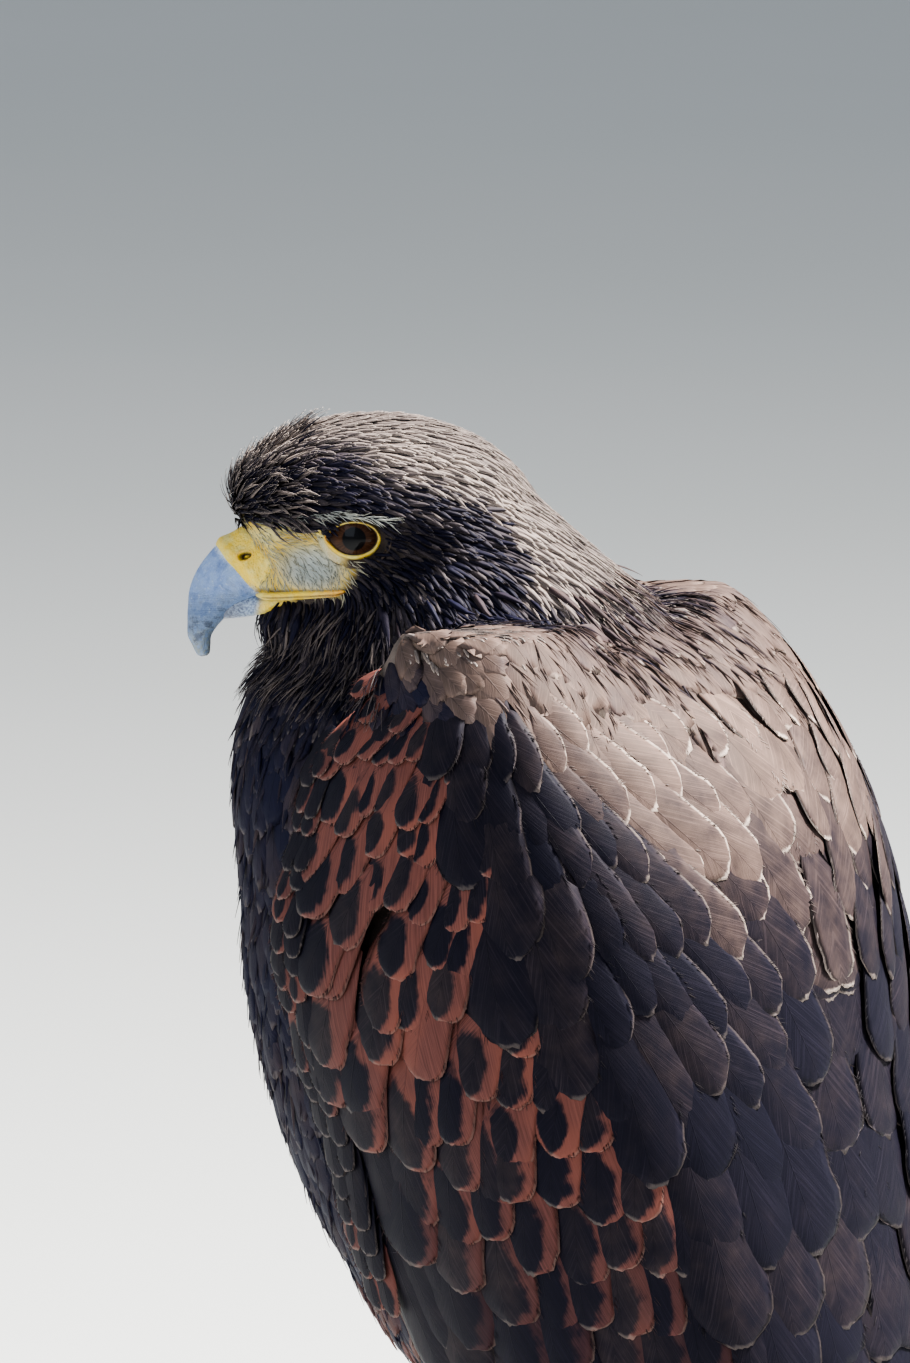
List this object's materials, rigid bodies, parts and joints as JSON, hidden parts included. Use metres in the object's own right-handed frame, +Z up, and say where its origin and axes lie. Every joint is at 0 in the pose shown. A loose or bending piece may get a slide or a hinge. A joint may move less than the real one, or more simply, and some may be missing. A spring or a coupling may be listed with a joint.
{
  "type": "harris hawk",
  "caption": "Life-size standing hawk with folded wings and its head turned to its left, gripping a cut branch on a flat display base.",
  "frame": {"origin": "centre of the bounding box at the underside of the display base", "axes": "+Z up along the perched bird; the bird's body faces -Y, its left side is +X, and the branch runs along X"},
  "size_m": [0.224, 0.2134, 0.4791],
  "materials": {
    "body": "matte dark chocolate brown feathers",
    "wings": "blackish brown feathers with a slight sheen, rufous towards the bend of the wing",
    "tail": "black feathers, white at the base and the tip",
    "thighs": "rufous feathers",
    "cere": "yellow bare skin",
    "legs": "yellow scaled skin",
    "bill": "satin blue-grey horn",
    "claws": "glossy black horn",
    "eyes": "clear and wet over a dark brown iris",
    "branch": "rough bark with cut ends",
    "rods": "satin",
    "base": "dark satin wood"
  },
  "bodies": {
    "root": {"head": "body", "neck": "body", "cere": "cere", "beak_upper": "bill", "beak_lower": "bill", "eye_left": "eyes", "eye_right": "eyes", "wing_left": "wings", "wing_right": "wings", "tail": "tail", "thigh_left": "thighs", "shank_left": "legs", "foot_left": "legs", "claw_left_1": "claws", "claw_left_2": "claws", "claw_left_3": "claws", "claw_left_4": "claws", "thigh_right": "thighs", "shank_right": "legs", "foot_right": "legs", "claw_right_1": "claws", "claw_right_2": "claws", "claw_right_3": "claws", "claw_right_4": "claws", "torso": "body", "stand_perch": "branch", "stand_rod_left": "rods", "stand_rod_right": "rods", "stand_base": "base"}
  },
  "joints": []
}
